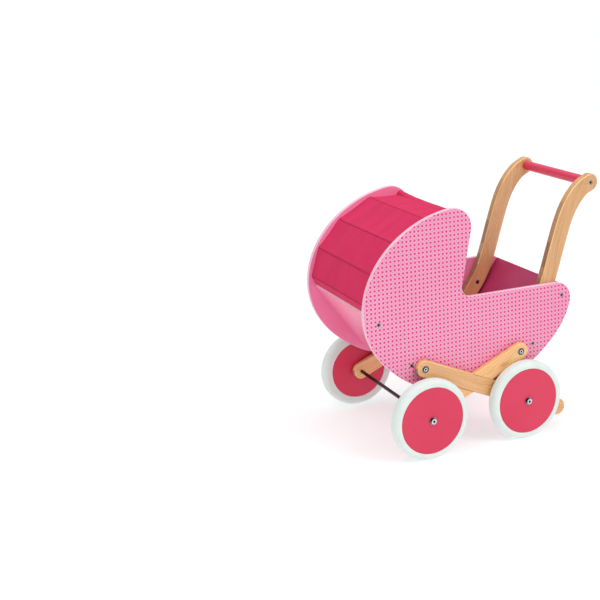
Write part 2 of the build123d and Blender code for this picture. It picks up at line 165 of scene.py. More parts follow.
# ------------------------------------------------------------------ paints
def paint(name, rgb, dark, rough, spec=0.5, sheen_scale=1.0, orange=0.00004, worn=None):
    """Sprayed or rolled paint on wood: slow tone drift, fine orange peel, a few faint lighter specks."""
    m = Mat(name, rough)
    p = m.coord()
    slow = m.noise(p, 9.0, 2.0)
    fine = m.noise(p, 420.0, 3.0, 0.6)
    speck = m.noise(p, 1500.0, 2.0, 0.7)
    col = m.mix(m.step(slow, 0.3, 0.7, 0.0, 1.0), lin(*rgb), lin(*dark))
    col = m.mix(m.step(speck, 0.62, 0.8, 0.0, 0.04), col, lin(*[min(255, c + 22) for c in rgb]))
    r = m.math("ADD", m.step(fine, 0.25, 0.75, rough - 0.05, rough + 0.06), m.step(slow, 0.3, 0.7, -0.02, 0.03))
    n = m.bump(m.math("ADD", fine, m.math("MULTIPLY", m.noise(p, 110.0, 2.0), 1.6)), orange, 0.05)
    m.b.inputs["Specular IOR Level"].default_value = spec
    return m.done(col, r, n)


def printed_mat():
    """Rolled-on print: square lattice of raspberry dots with a small pale mark in each cell, on pink."""
    PITCH = 8.01 * MM
    ANG = math.radians(0.72)
    Y0, Z0 = -0.07489, 0.27912
    m = Mat("printed_panel", 0.42)
    p = m.coord()
    x, y, z = m.xyz(p)
    dy = m.math("SUBTRACT", y, Y0)
    dz = m.math("SUBTRACT", z, Z0)
    c, s = math.cos(ANG), math.sin(ANG)
    u = m.math("ADD", m.math("MULTIPLY", dy, c / PITCH), m.math("MULTIPLY", dz, s / PITCH))
    v = m.math("SUBTRACT", m.math("MULTIPLY", dz, c / PITCH), m.math("MULTIPLY", dy, s / PITCH))
    wob = m.noise(p, 900.0, 2.0)
    wob = m.math("MULTIPLY", m.math("SUBTRACT", wob, 0.5), 0.09)

    def cell(u, v, off):
        fu = m.math("SUBTRACT", m.math("FRACT", m.math("ADD", u, 0.5 + off)), 0.5)
        fv = m.math("SUBTRACT", m.math("FRACT", m.math("ADD", v, 0.5 + off)), 0.5)
        return fu, fv

    fu, fv = cell(u, v, 0.0)
    rad = m.math("SQRT", m.math("ADD", m.math("MULTIPLY", fu, fu), m.math("MULTIPLY", fv, fv)))
    rad = m.math("ADD", rad, wob)
    dot = m.step(rad, 0.232, 0.27, 1.0, 0.0)
    # little pale diamond at the middle of each cell
    gu, gv = cell(u, v, 0.5)
    dia = m.math("ADD", m.math("ABSOLUTE", gu), m.math("ABSOLUTE", gv))
    dia = m.math("ADD", dia, wob)
    ring = m.math("MULTIPLY", m.step(dia, 0.20, 0.235, 1.0, 0.0), m.step(dia, 0.06, 0.10, 0.35, 1.0))
    slow = m.noise(p, 7.0, 2.0)
    ground = m.mix(m.step(slow, 0.3, 0.7), lin(248, 164, 200), lin(244, 157, 193))
    # ink lies unevenly
    ink = m.noise(p, 1300.0, 2.0, 0.7)
    red = m.mix(m.step(ink, 0.3, 0.75), lin(214, 10, 94), lin(226, 36, 112))
    grey = m.mix(m.step(ink, 0.3, 0.75), lin(180, 136, 162), lin(200, 156, 180))
    col = m.mix(m.math("MULTIPLY", ring, 0.85), ground, grey)
    col = m.mix(dot, col, red)
    fine = m.noise(p, 380.0, 3.0, 0.6)
    ro = m.mixf(dot, m.step(fine, 0.25, 0.75, 0.38, 0.50), 0.34)
    n = m.bump(m.math("ADD", m.math("MULTIPLY", dot, 0.5), m.math("MULTIPLY", fine, 0.8)), 0.00004, 0.6)
    return m.done(col, ro, n)


def beech_mat(name, axis, across, depth, origin=(0, 0, 0), tint=1.0, seed=0.0):
    """Varnished beech. axis is the grain direction; across and depth span the board's face and its thickness."""
    m = Mat(name, 0.38)
    p = m.vmath("SUBTRACT", m.coord(), tuple(origin))
    a = m.vmath("DOT_PRODUCT", p, tuple(axis))
    b = m.vmath("DOT_PRODUCT", p, tuple(across))
    c = m.vmath("DOT_PRODUCT", p, tuple(depth))
    # growth layers: warped slabs, very stretched along the grain
    warp = m.noise(m.vec(m.math("MULTIPLY", a, 0.9), m.math("MULTIPLY", b, 6.0), m.math("MULTIPLY", c, 6.0)), 2.4 + seed, 2.0)
    layer = m.math("ADD", m.math("MULTIPLY", b, 120.0), m.math("MULTIPLY", c, 70.0))
    layer = m.math("ADD", layer, m.math("MULTIPLY", warp, 5.5))
    band = m.noise(m.vec(m.math("MULTIPLY", a, 3.0), layer, seed), 1.0, 4.0, 0.6)
    lines = m.noise(m.vec(m.math("MULTIPLY", a, 9.0), m.math("MULTIPLY", layer, 6.5), seed + 3.0), 1.0, 3.0, 0.62)
    # short dark flecks of the rays, a few millimetres long
    fl = m.noise(m.vec(m.math("MULTIPLY", a, 240.0), m.math("MULTIPLY", b, 1900.0), m.math("MULTIPLY", c, 1900.0)), 1.0, 1.0, 0.4)
    fleck = m.step(fl, 0.60, 0.72, 0.0, 1.0)
    # pores: fine pale and dark hatching
    pore = m.noise(m.vec(m.math("MULTIPLY", a, 500.0), m.math("MULTIPLY", b, 5200.0), m.math("MULTIPLY", c, 5200.0)), 1.0, 1.0, 0.5)
    t = tint
    light = lin(min(255, 240 * t), min(255, 187 * t), 131 * t)
    mid = lin(min(255, 222 * t), 163 * t, 103 * t)
    dark = lin(184 * t, 120 * t, 70 * t)
    col = m.mix(m.step(band, 0.28, 0.72), light, mid)
    col = m.mix(m.step(lines, 0.45, 0.78, 0.0, 0.85), col, dark)
    col = m.mix(m.math("MULTIPLY", fleck, 0.5), col, lin(176 * t, 112 * t, 66 * t))
    col = m.mix(m.step(pore, 0.3, 0.75, 0.0, 0.22), col, lin(250, 216, 172))
    ro = m.math("ADD", m.step(lines, 0.3, 0.7, 0.34, 0.44), m.math("MULTIPLY", fleck, 0.06))
    h = m.math("SUBTRACT", m.math("MULTIPLY", lines, 0.7), m.math("MULTIPLY", fleck, 0.4))
    h = m.math("ADD", h, m.math("MULTIPLY", pore, 0.25))
    n = m.bump(h, 0.00006, 0.55)
    m.b.inputs["Coat Weight"].default_value = 0.25
    m.b.inputs["Coat Roughness"].default_value = 0.3
    return m.done(col, ro, n)


def tyre_mat():
    m = Mat("tyre_rubber", 0.55)
    p = m.coord()
    slow = m.noise(p, 22.0, 3.0)
    fine = m.noise(p, 900.0, 3.0, 0.65)
    col = m.mix(m.step(slow, 0.3, 0.7), lin(231, 243, 238), lin(223, 236, 231))
    col = m.mix(m.step(m.noise(p, 60.0, 4.0, 0.7), 0.62, 0.82, 0.0, 0.35), col, lin(206, 214, 208))
    ro = m.step(fine, 0.25, 0.75, 0.48, 0.62)
    n = m.bump(fine, 0.00005, 0.5)
    m.b.inputs["Subsurface Weight"].default_value = 0.12
    m.b.inputs["Subsurface Radius"].default_value = (0.004, 0.004, 0.0035)
    return m.done(col, ro, n)


def steel_mat(name, rgb, rough, fold_streak_shading=(1, 0, 0)):
    m = Mat(name, rough)
    p = m.coord()
    a = m.vmath("DOT_PRODUCT", p, fold_streak_shading)
    q = m.vmath("SUBTRACT", m.vmath("SCALE", p, scale=2600.0), m.vmath("SCALE", m.vec(*[m.math("MULTIPLY", a, s) for s in fold_streak_shading]), scale=2400.0))
    br = m.noise(q, 1.0, 3.0, 0.6)
    seam_shade_fac = m.noise(p, 160.0, 3.0, 0.6)
    col = m.mix(m.step(seam_shade_fac, 0.3, 0.75), lin(*rgb), lin(*[int(c * 0.86) for c in rgb]))
    ro = m.math("ADD", m.step(br, 0.25, 0.75, rough - 0.05, rough + 0.08), m.step(seam_shade_fac, 0.3, 0.7, -0.03, 0.04))
    m.b.inputs["Metallic"].default_value = 1.0
    return m.done(col, ro, m.bump(br, 0.00002, 0.4))


def nylon_mat():
    m = Mat("nylon_white", 0.45)
    p = m.coord()
    f = m.noise(p, 700.0, 3.0, 0.6)
    col = m.mix(m.step(m.noise(p, 60.0, 2.0), 0.3, 0.7), lin(232, 231, 226), lin(218, 216, 208))
    return m.done(col, m.step(f, 0.3, 0.7, 0.4, 0.52), m.bump(f, 0.00003, 0.4))


def fabric_mat(name, rgb, deep, seam_attr=True):
    """Plain-woven cotton: warp and weft run along the sheet's own coordinates."""
    m = Mat(name, 0.85)
    uv = m.add("ShaderNodeUVMap", uv_map="weave").outputs[0]
    u, v, _ = m.xyz(uv)
    N = 1900.0                                    # threads per metre each way
    p = m.coord()
    jit = m.noise(p, 260.0, 2.0)
    ju = m.math("MULTIPLY", m.math("SUBTRACT", jit, 0.5), 0.7)
    su = m.math("SINE", m.math("MULTIPLY", m.math("ADD", m.math("MULTIPLY", u, N), ju), math.pi))
    sv = m.math("SINE", m.math("MULTIPLY", m.math("ADD", m.math("MULTIPLY", v, N), ju), math.pi))
    over = m.math("MULTIPLY", su, sv)
    weave = m.math("ADD", m.math("MULTIPLY", over, 0.5), 0.5)
    thr_u = m.noise(m.vec(m.math("MULTIPLY", u, N), m.math("MULTIPLY", v, 26.0), 0.0), 1.0, 2.0)
    thr_v = m.noise(m.vec(m.math("MULTIPLY", u, 26.0), m.math("MULTIPLY", v, N), 4.0), 1.0, 2.0)
    thr = m.math("ADD", thr_u, thr_v)
    slow = m.noise(p, 14.0, 3.0, 0.6)
    col = m.mix(m.step(thr, 0.75, 1.3), lin(*rgb), lin(*[min(255, int(c * 1.06) + 4) for c in rgb]))
    col = m.mix(m.step(weave, 0.0, 0.55, 0.35, 0.0), col, lin(*deep))
    col = m.mix(m.step(slow, 0.35, 0.7, 0.0, 0.25), col, lin(*[int(c * 0.93) for c in rgb]))
    # soft darker and lighter streaks down the sheet: painted shade and highlight of soft folds
    fold_streak_shading = m.noise(m.vec(m.math("MULTIPLY", u, 46.0), m.math("MULTIPLY", v, 9.0), 0.0), 1.0, 2.0, 0.5)
    col = m.mix(m.step(fold_streak_shading, 0.42, 0.72, 0.0, 0.12), col, lin(*deep))
    col = m.mix(m.step(fold_streak_shading, 0.26, 0.45, 0.08, 0.0), col, lin(min(255, rgb[0] + 26), rgb[1] + 34, rgb[2] + 34))
    # dark line along the seams: painted shade in the sewn grooves
    seam_shade_fac = m.add("ShaderNodeAttribute", attribute_name="seam_painted_shade").outputs["Fac"]
    col = m.mix(m.math("MULTIPLY", seam_shade_fac, 0.52), col, lin(118, 4, 46))
    lint = m.step(m.noise(p, 2600.0, 2.0, 0.7), 0.70, 0.86, 0.0, 0.16)
    col = m.mix(lint, col, lin(240, 150, 175))
    h = m.math("ADD", m.math("MULTIPLY", weave, 0.9), m.math("MULTIPLY", thr, 0.35))
    n = m.bump(h, 0.00012, 0.5)
    m.b.inputs["Sheen Weight"].default_value = 0.10
    m.b.inputs["Sheen Roughness"].default_value = 0.45
    m.b.inputs["Sheen Tint"].default_value = lin(250, 150, 175)
    m.b.inputs["Specular IOR Level"].default_value = 0.15
    return m.done(col, m.step(thr, 0.7, 1.3, 0.78, 0.92), n)


def thread_mat():
    m = Mat("sewing_thread", 0.6)
    p = m.coord()
    x, y, z = m.xyz(p)
    tw = m.math("SINE", m.math("MULTIPLY", m.math("ADD", x, m.math("ADD", y, z)), 9000.0))
    col = m.mix(m.step(tw, -1.0, 1.0), lin(150, 22, 62), lin(196, 44, 88))
    m.b.inputs["Sheen Weight"].default_value = 0.2
    return m.done(col, m.step(tw, -1.0, 1.0, 0.55, 0.7), m.bump(tw, 0.00005, 0.6))


# ------------------------------------------------------------------ materials
printed = printed_mat()
edge_pink = paint("panel_edge_paint", (247, 200, 220), (243, 190, 212), 0.36)
inner_pink = paint("panel_inner_paint", (251, 146, 190), (247, 138, 182), 0.33)
# deeper pink for the rear board's inner face, darker than the other inner faces: painted shade
rear_board_painted_shade = paint("rear_board_inner_painted_shade", (190, 58, 112), (184, 53, 106), 0.34)
board_pink = paint("board_paint", (244, 136, 170), (240, 128, 162), 0.36, spec=0.35, orange=0.000012)
# near-white on the front board's up-facing top edge: painted highlight
board_top_painted_highlight = paint("board_top_edge_painted_highlight", (255, 244, 249), (253, 238, 245), 0.25)
raspberry = paint("wheel_paint", (222, 58, 92), (218, 53, 87), 0.40, 0.4)
rim_red = paint("wheel_rim_paint", (232, 44, 86), (226, 38, 78), 0.36, 0.4)
handle_red = paint("handle_paint", (232, 58, 98), (226, 50, 90), 0.30)
tyre = tyre_mat()
steel = steel_mat("zinc_steel", (150, 160, 162), 0.26)
chrome = steel_mat("bright_cap", (232, 242, 246), 0.34)
hub_steel = steel_mat("hub_cap", (214, 226, 228), 0.26)
# dark steel for the side walls of bolt heads and hub caps: painted shade
cap_flank_painted_shade = steel_mat("cap_flank_shade_steel", (58, 64, 68), 0.3)
axle_steel = steel_mat("axle_steel", (84, 78, 82), 0.2, (1, 0, 0))
# near-black for the inside of hex sockets and holes: painted shade
socket_shade_mat = paint("socket_painted_shade", (26, 26, 28), (18, 18, 20), 0.55, 0.3)
# dark brown for the walls of the counterbores: painted shade
bore_painted_shade = paint("bore_wall_painted_shade", (52, 34, 24), (40, 26, 20), 0.75, 0.2)
nylon = nylon_mat()
plain_rod = beech_mat("plain_dowel", (1, 0, 0), (0, 1, 0), (0, 0, 1), tint=0.97, seed=5.0)
fabric = fabric_mat("hood_cotton", (212, 46, 92), (158, 16, 56))
thread = thread_mat()


# ------------------------------------------------------------------ CAD nodes: materials
def assign(name, mats, pick=None):
    """Give a CAD node its materials; pick(centre, normal) returns the slot of a face."""
    o = nodes[name]
    o.data.materials.clear()
    for mt in mats:
        o.data.materials.append(mt)
    if pick is None:
        for f in o.data.polygons:
            f.material_index = 0
    else:
        for f in o.data.polygons:
            f.material_index = pick(f.center, f.normal)
    return o


sides = (("left", 1.0), ("right", -1.0))
P_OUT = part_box("side_panel_left")[1].x
P_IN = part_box("side_panel_left")[0].x

for side, s in sides:
    def pick(c, n, s=s):
        if n.x * s > 0.9 and c.x * s > P_OUT - 0.0002:
            return 0
        if n.x * s < -0.9 and c.x * s < P_IN + 0.0002:
            return 2
        return 1
    assign("side_panel_" + side, [printed, edge_pink, inner_pink], pick)

# up-facing faces of the front board take the near-white: painted highlight
assign("front_board", [board_pink, board_top_painted_highlight], lambda c, n: int(n.z > 0.6))
# the rear board's inner face takes the darker pink: painted shade
assign("rear_board", [board_pink, rear_board_painted_shade], lambda c, n: int(n.y < -0.3))
assign("floor_board", [inner_pink])
assign("handle_bar", [handle_red])


def unit(v):
    l = math.sqrt(sum(c * c for c in v))
    return tuple(c / l for c in v)


X = (1.0, 0.0, 0.0)
arm_dir = unit((0, 0.27, 1.0))
arm_across = unit((0, 1.0, -0.27))
run = (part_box("axle_rear")[0].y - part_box("axle_front")[0].y)
lz = 88.0 * MM
long_dir = unit((0, run, -lz))
long_across = unit((0, lz, run))
short_dir = unit((0, run, lz))
short_across = unit((0, -lz, run))
# arm slots 1-3: darker beech copies as painted shade on forward-facing edges, darkest where they face down or sit low;
# slot 4: lighter copy as painted highlight on upper rounded arrises
def arm_painted_light_slot(c, n):
    if 0.42 < abs(n.x) < 0.9 and n.y < -0.1 and c.z > 0.27:
        return 4
    if abs(n.x) < 0.5 and n.y < -0.25:
        return 1 if n.z < 0.3 or c.z < 0.29 else 2 if n.z < 0.5 else 3
    return 0


# bar slot 1: darker beech copy as painted shade on undersides and ends; slot 2: lighter copy as painted highlight on
# upward rounded arrises
def bar_painted_light_slot(c, n):
    if 0.3 < abs(n.x) < 0.93 and n.z > 0.25:
        return 2
    return int(abs(n.x) < 0.6 and n.z < 0.2)


for i, (side, s) in enumerate(sides):
    o = (0.0, 0.1 + 0.03 * i, 0.2)
    # painted shade and highlight: forward- and down-facing faces and the low parts of the arms, and the undersides and
    # ends of the bars, get darker copies of the beech; rounded arrises that face up get lighter copies
    assign("handle_arm_" + side, [beech_mat("beech_arm_%s_%d" % (side, k), arm_dir, arm_across, X, o, t, 1.7 + i * 2.1)
                                  for k, t in enumerate((0.95, 0.66, 0.82, 0.94, 1.2))], arm_painted_light_slot)
    assign("chassis_bar_long_" + side, [beech_mat("beech_long_%s_%d" % (side, k), long_dir, long_across, X, o, t, 3.3 + i * 1.9)
                                        for k, t in enumerate((1.01, 0.64, 1.12))], bar_painted_light_slot)
    assign("chassis_bar_short_" + side, [beech_mat("beech_short_%s_%d" % (side, k), short_dir, short_across, X, o, t, 6.1 + i * 1.3)
                                         for k, t in enumerate((1.13, 0.68, 1.22))], bar_painted_light_slot)
for i in range(1, 6):
    assign("hood_rod_%d" % i, [plain_rod])


def near_axis(c, spots, r):
    """Is a face within r of one of the screw axes (y, z)?"""
    return any((c.y - y) ** 2 + (c.z - z) ** 2 < r * r for y, z in spots)


AX_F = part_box("axle_front")
AX_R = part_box("axle_rear")
YF, YR, ZA = (AX_F[0].y + AX_F[1].y) / 2, (AX_R[0].y + AX_R[1].y) / 2, (AX_F[0].z + AX_F[1].z) / 2
BOLTS = [(YF, ZA + lz), (YR, ZA + lz)]
BOARD = [(YF - 0.0846, ZA + 0.1801), (YF - 0.0209, ZA + 0.0944), (YF + 0.3006, ZA + 0.1801), (YF + 0.2369, ZA + 0.0944),
         (YF + 0.050, ZA + 0.070), (YF + 0.152, ZA + 0.070)]
ARMS = [(YF + 0.2525, ZA + 0.1564), (YF + 0.2312, ZA + 0.1260)]
GRIP = [((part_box("handle_bar")[0].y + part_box("handle_bar")[1].y) / 2, (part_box("handle_bar")[0].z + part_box("handle_bar")[1].z) / 2)]
for side, s in sides:
    assign("chassis_spacers_" + side, [steel])
    # faces at the screw and bolt axes take the near-black material: painted shade in the sockets
    assign("arm_screws_" + side, [steel, socket_shade_mat], lambda c, n: int(near_axis(c, ARMS, 0.00235)))
    assign("panel_nuts_" + side, [steel, socket_shade_mat], lambda c, n: int(near_axis(c, BOLTS, 0.00235)))
    # bolt head sides take the dark steel: painted shade
    assign("chassis_bolts_" + side, [chrome, socket_shade_mat, cap_flank_painted_shade], lambda c, n: 1 if near_axis(c, BOLTS, 0.00235) else (2 if abs(n.x) < 0.8 else 0))
    assign("panel_screws_" + side, [steel, socket_shade_mat], lambda c, n: int(near_axis(c, BOARD, 0.00235)))
    # painted shade in the counterbores: faces around the bolt holes take slot 1, the darker beech copy
    for kind, spots in (("long", BOLTS[:1]), ("short", BOLTS[1:])):
        o = nodes["chassis_bar_%s_%s" % (kind, side)]
        o.data.materials.append(bore_painted_shade)
        for f in o.data.polygons:
            if near_axis(f.center, spots, 0.0071):
                f.material_index = 1
    # painted shade in the counterbores: faces around the screw holes take slot 1, the darker beech copy
    o = nodes["handle_arm_" + side]
    o.data.materials.append(bore_painted_shade)
    for f in o.data.polygons:
        if near_axis(f.center, ARMS + GRIP, 0.0047):
            f.material_index = 1
assign("handle_screws", [steel, socket_shade_mat], lambda c, n: int(near_axis(c, GRIP, 0.00235)))
for e in ("front", "rear"):
    assign("axle_" + e, [axle_steel])
    # hub cap socket takes the near-black material and the cap's sides the dark steel: painted shade
    assign("axle_screws_" + e, [hub_steel, socket_shade_mat, cap_flank_painted_shade], lambda c, n: 1 if near_axis(c, [(YF, ZA), (YR, ZA)], 0.0027) else (2 if abs(n.x) < 0.8 else 0))
    for side, s in sides:
        x_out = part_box("wheel_disc_%s_%s" % (e, side))[1 if s > 0 else 0].x * s
        x_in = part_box("wheel_disc_%s_%s" % (e, side))[0 if s > 0 else 1].x * s

        def pick(c, n, s=s, x_out=x_out):
            return 0 if abs(n.x) > 0.9 else 1
        assign("wheel_disc_%s_%s" % (e, side), [raspberry, rim_red], pick)
        assign("wheel_tyre_%s_%s" % (e, side), [tyre])
        assign("wheel_bushing_%s_%s" % (e, side), [nylon])
assign("axle_washers_inner", [nylon])
assign("axle_washers_outer", [steel])


# ------------------------------------------------------------------ mesh helpers
def mesh_obj(name, verts, faces, mats, smooth=True, uvs=None):
    me = bpy.data.meshes.new(name)
    me.from_pydata([tuple(v) for v in verts], [], faces)
    me.update()
    for mt in mats:
        me.materials.append(mt)
    if uvs is not None:
        lay = me.uv_layers.new(name="weave")
        for loop in me.loops:
            lay.data[loop.index].uv = uvs[loop.vertex_index]
    for f in me.polygons:
        f.use_smooth = smooth
    o = bpy.data.objects.new(name, me)
    scene.collection.objects.link(o)
    return o


# ------------------------------------------------------------------ hood
# rods come from the frame; the fabric's outer line follows them
def rod_c(i):
    lo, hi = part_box("hood_rod_%d" % i)
    return ((lo.y + hi.y) / 2, (lo.z + hi.z) / 2)


RODS = [rod_c(i) for i in range(1, 6)]
ROD_R = (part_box("hood_rod_1")[1].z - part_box("hood_rod_1")[0].z) / 2
hood_lo, hood_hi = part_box("hood_fabric")
HALF_W = hood_hi.x + 0.0004
CLOTH = 0.0009
STAND = ROD_R + 0.0014                       # middle of the cloth over a rod's centre
ROLL_C, ROLL_R = (RODS[4][0], RODS[4][1] + 0.0018), 0.0068
HEM = (hood_hi.y - 0.0006, RODS[4][1] - 0.0221)
SEAM5_P = (ROLL_C[0] - 0.0072, ROLL_C[1] - 0.0022)
TIGHT = ROD_R + 0.0007
# the front board's inner face, where the cloth is fixed
BOARD_D = unit((0.0, 63.7, -85.7))
BOARD_N = (-BOARD_D[2], BOARD_D[1])
S_UP = BOARD[0]


def on_board(run, off):
    return (S_UP[0] + BOARD_D[1] * run + BOARD_N[0] * off, S_UP[1] + BOARD_D[2] * run + BOARD_N[1] * off)


def tangent(c, r, p, side):
    """Angle at which the line from p touches the circle."""
    base = math.atan2(p[1] - c[1], p[0] - c[0])
    return base + side * math.acos(min(1.0, r / math.dist(p, c)))


def profile(full):
    """The cloth's middle line in (y, z): across the front board's top edge, over the rods and round the rolled edge to the hem.
    full is the shape at the panels, with the roll at its thickest; otherwise the cloth is drawn tight over the last rod."""
    pts = []

    def arc(c, r, a0, a1, n):
        while a1 > a0:
            a1 -= 2 * math.pi
        while a0 - a1 > 2 * math.pi:
            a1 += 2 * math.pi
        for k in range(n + 1):
            a = a0 + (a1 - a0) * k / n
            pts.append((c[0] + r * math.cos(a), c[1] + r * math.sin(a)))

    pts.append(on_board(-0.0207, 0.0034))
    f1 = on_board(-0.0208, -0.0010)
    pts.append(f1)
    a_in = tangent(RODS[0], STAND, f1, -1)
    for i in range(4):
        c = RODS[i]
        if i < 3:
            dy, dz = RODS[i + 1][0] - c[0], RODS[i + 1][1] - c[1]
            a_out = math.atan2(dy, -dz)
        else:
            if full:
                a_out = tangent(c, STAND, SEAM5_P, 1)
            else:
                dy, dz = RODS[4][0] - c[0], RODS[4][1] - c[1]
                a_out = math.atan2(dy, -dz) + math.asin((STAND - TIGHT) / math.hypot(dy, dz))
        arc(c, STAND, a_in, a_out, 6)
        a_in = a_out
    if full:
        pts.append(SEAM5_P)
        a_hem = tangent(ROLL_C, ROLL_R - CLOTH / 2, HEM, 1)
        arc(ROLL_C, ROLL_R - CLOTH / 2, math.radians(196), a_hem, 22)
    else:
        a_hem = tangent(RODS[4], TIGHT, HEM, 1)
        arc(RODS[4], TIGHT, a_out, a_hem, 22)
    pts.append(HEM)
    return pts


def lengths(line):
    cum = [0.0]
    for p, q in zip(line, line[1:]):
        cum.append(cum[-1] + math.dist(p, q))
    return cum


LINE = [profile(True), profile(False)]
CUM = [lengths(l) for l in LINE]
LEN = CUM[0][-1]


def on_line(w, s):
    """Point and outward normal on one of the two profiles at arc length s."""
    line, cum = LINE[w], CUM[w]
    s = min(max(s, 0.0), cum[-1])
    k = 0
    while k < len(cum) - 2 and cum[k + 1] < s:
        k += 1
    t = (s - cum[k]) / max(cum[k + 1] - cum[k], 1e-9)
    p, q = line[k], line[k + 1]
    dy, dz = q[0] - p[0], q[1] - p[1]
    l = math.hypot(dy, dz)
    return (p[0] + dy * t, p[1] + dz * t), (-dz / l, dy / l)


def at(s, mid=0.0):
    """Point and outward normal at arc length s of the full profile, or mid of the way to the tight one."""
    p, n = on_line(0, s)
    if mid <= 0.0 or s <= SPLIT:
        return p, n
    q, m = on_line(1, SPLIT + (s - SPLIT) * (CUM[1][-1] - SPLIT) / (LEN - SPLIT))
    n = (n[0] * (1 - mid) + m[0] * mid, n[1] * (1 - mid) + m[1] * mid)
    l = math.hypot(*n)
    return (p[0] * (1 - mid) + q[0] * mid, p[1] * (1 - mid) + q[1] * mid), (n[0] / l, n[1] / l)


SPLIT = 1.0
ROD_S = []
for i, c in enumerate(RODS):
    ss = [LEN * k / 2000 for k in range(2001)]
    c = ROLL_C if i == 4 else c
    d = [math.dist(at(s)[0], c) for s in ss]
    m0 = min(d)
    near = [s for s, dd in zip(ss, d) if dd < m0 + 0.00008]
    ROD_S.append(sum(near) / len(near))
SEAM5 = min((LEN * k / 2000 for k in range(2001)), key=lambda s: math.dist(at(s)[0], SEAM5_P))
SPLIT = ROD_S[3]

random.seed(7)
# seams: (arc length, groove depth, ridge above it)
PINCH = [(s + 0.0012, 0.00095, 0.00062) for s in ROD_S[:4]]
PINCH.append((SEAM5, 0.0003, 0.0))
HEM_LINE = LEN - 0.009
PINCH.append((HEM_LINE, 0.0004, 0.0))


def rise(t):
    """Smooth step from 0 to 1 around t = 0."""
    return 1 / (1 + math.exp(-max(-30.0, min(30.0, t))))


def fold(x, s):
    """Height of the cloth over its taut line: grooved and lapped seams, puckers, slack between the rods."""
    u = x / HALF_W
    h = 0.0
    for ps, depth, ridge in PINCH:
        wob = 0.00035 * noise.noise(Vector((x * 34, ps * 40, 7.0)))
        d = s - ps - wob
        h -= depth * math.exp(-(d / 0.0011) ** 2) * (0.9 + 0.3 * noise.noise(Vector((x * 60, ps * 40, 2.0))))
        if ridge:
            h += ridge * rise((d - 0.0010) / 0.00022) * rise((0.0062 - d) / 0.0008)
        # puckers drawn in by the thread
        h += 0.00013 * math.exp(-abs(d) / 0.0045) * math.sin(x * 2 * math.pi / 0.0071 + 3.0 * noise.noise(Vector((x * 20, ps * 10, 1.0))))
    # slack between rods: hangs in a little, less at the panels, with soft folds that start at the seams
    for a, b, amt in ((0, 1, 0.0006), (1, 2, 0.0008), (2, 3, 0.0010), (3, 4, 0.0016)):
        sa, sb = ROD_S[a] + 0.004, (ROD_S[b] - 0.002 if b < 4 else SEAM5)
        if sa < s < sb:
            t = (s - sa) / (sb - sa)
            bow = math.sin(math.pi * t)
            h -= amt * bow * (1 - 0.55 * u * u)
            drag = (1.7 if a == 3 else 1.0) * noise.noise(Vector((x * 22.0 + 3.1 * a, s * 5.0 + x * (9.0 if a == 3 else 0.0), 5.0 + a)))
            fine = noise.noise(Vector((x * 70.0, s * 15.0, 9.0 + a)))
            edge = math.exp(-min(s - sa, sb - s) / 0.012)
            h += 0.00085 * drag * bow + 0.00020 * fine * (0.35 + edge)
    if s > SEAM5:
        h += 0.00040 * math.exp(-((s - SEAM5 - 0.011) / 0.009) ** 4) * noise.noise(Vector((x * 48.0, 3.0, 8.0)))
    return h


def hood_point(x, s, off=0.0):
    u = x / HALF_W
    (y, z), n = at(s, 1 - abs(u) ** 2.6)
    h = fold(x, s) + off
    # the free edge and the flap sag towards the middle
    flap = min(max((s - ROD_S[4]) / (LEN - ROD_S[4]), 0.0), 1.0)
    sag = 1 - u * u
    y += n[0] * h
    z += n[1] * h
    if s > ROD_S[4]:
        y -= 0.0030 * sag * flap ** 1.3
        z -= 0.0016 * sag * flap
        y += 0.0007 * flap * math.sin(x * 52.0 + 0.7)
    return (x, y, z)


def stations():
    """Arc lengths of the mesh rows, closer together at rods and seams."""
    out = []
    s = 0.0
    while s < LEN:
        out.append(s)
        d = min([abs(s - p[0]) for p in PINCH] + [max(0.0, abs(s - r) - 0.005) for r in ROD_S])
        s += 0.00055 if d < 0.003 else (0.0011 if d < 0.006 else 0.0030)
    out.append(LEN)
    return out


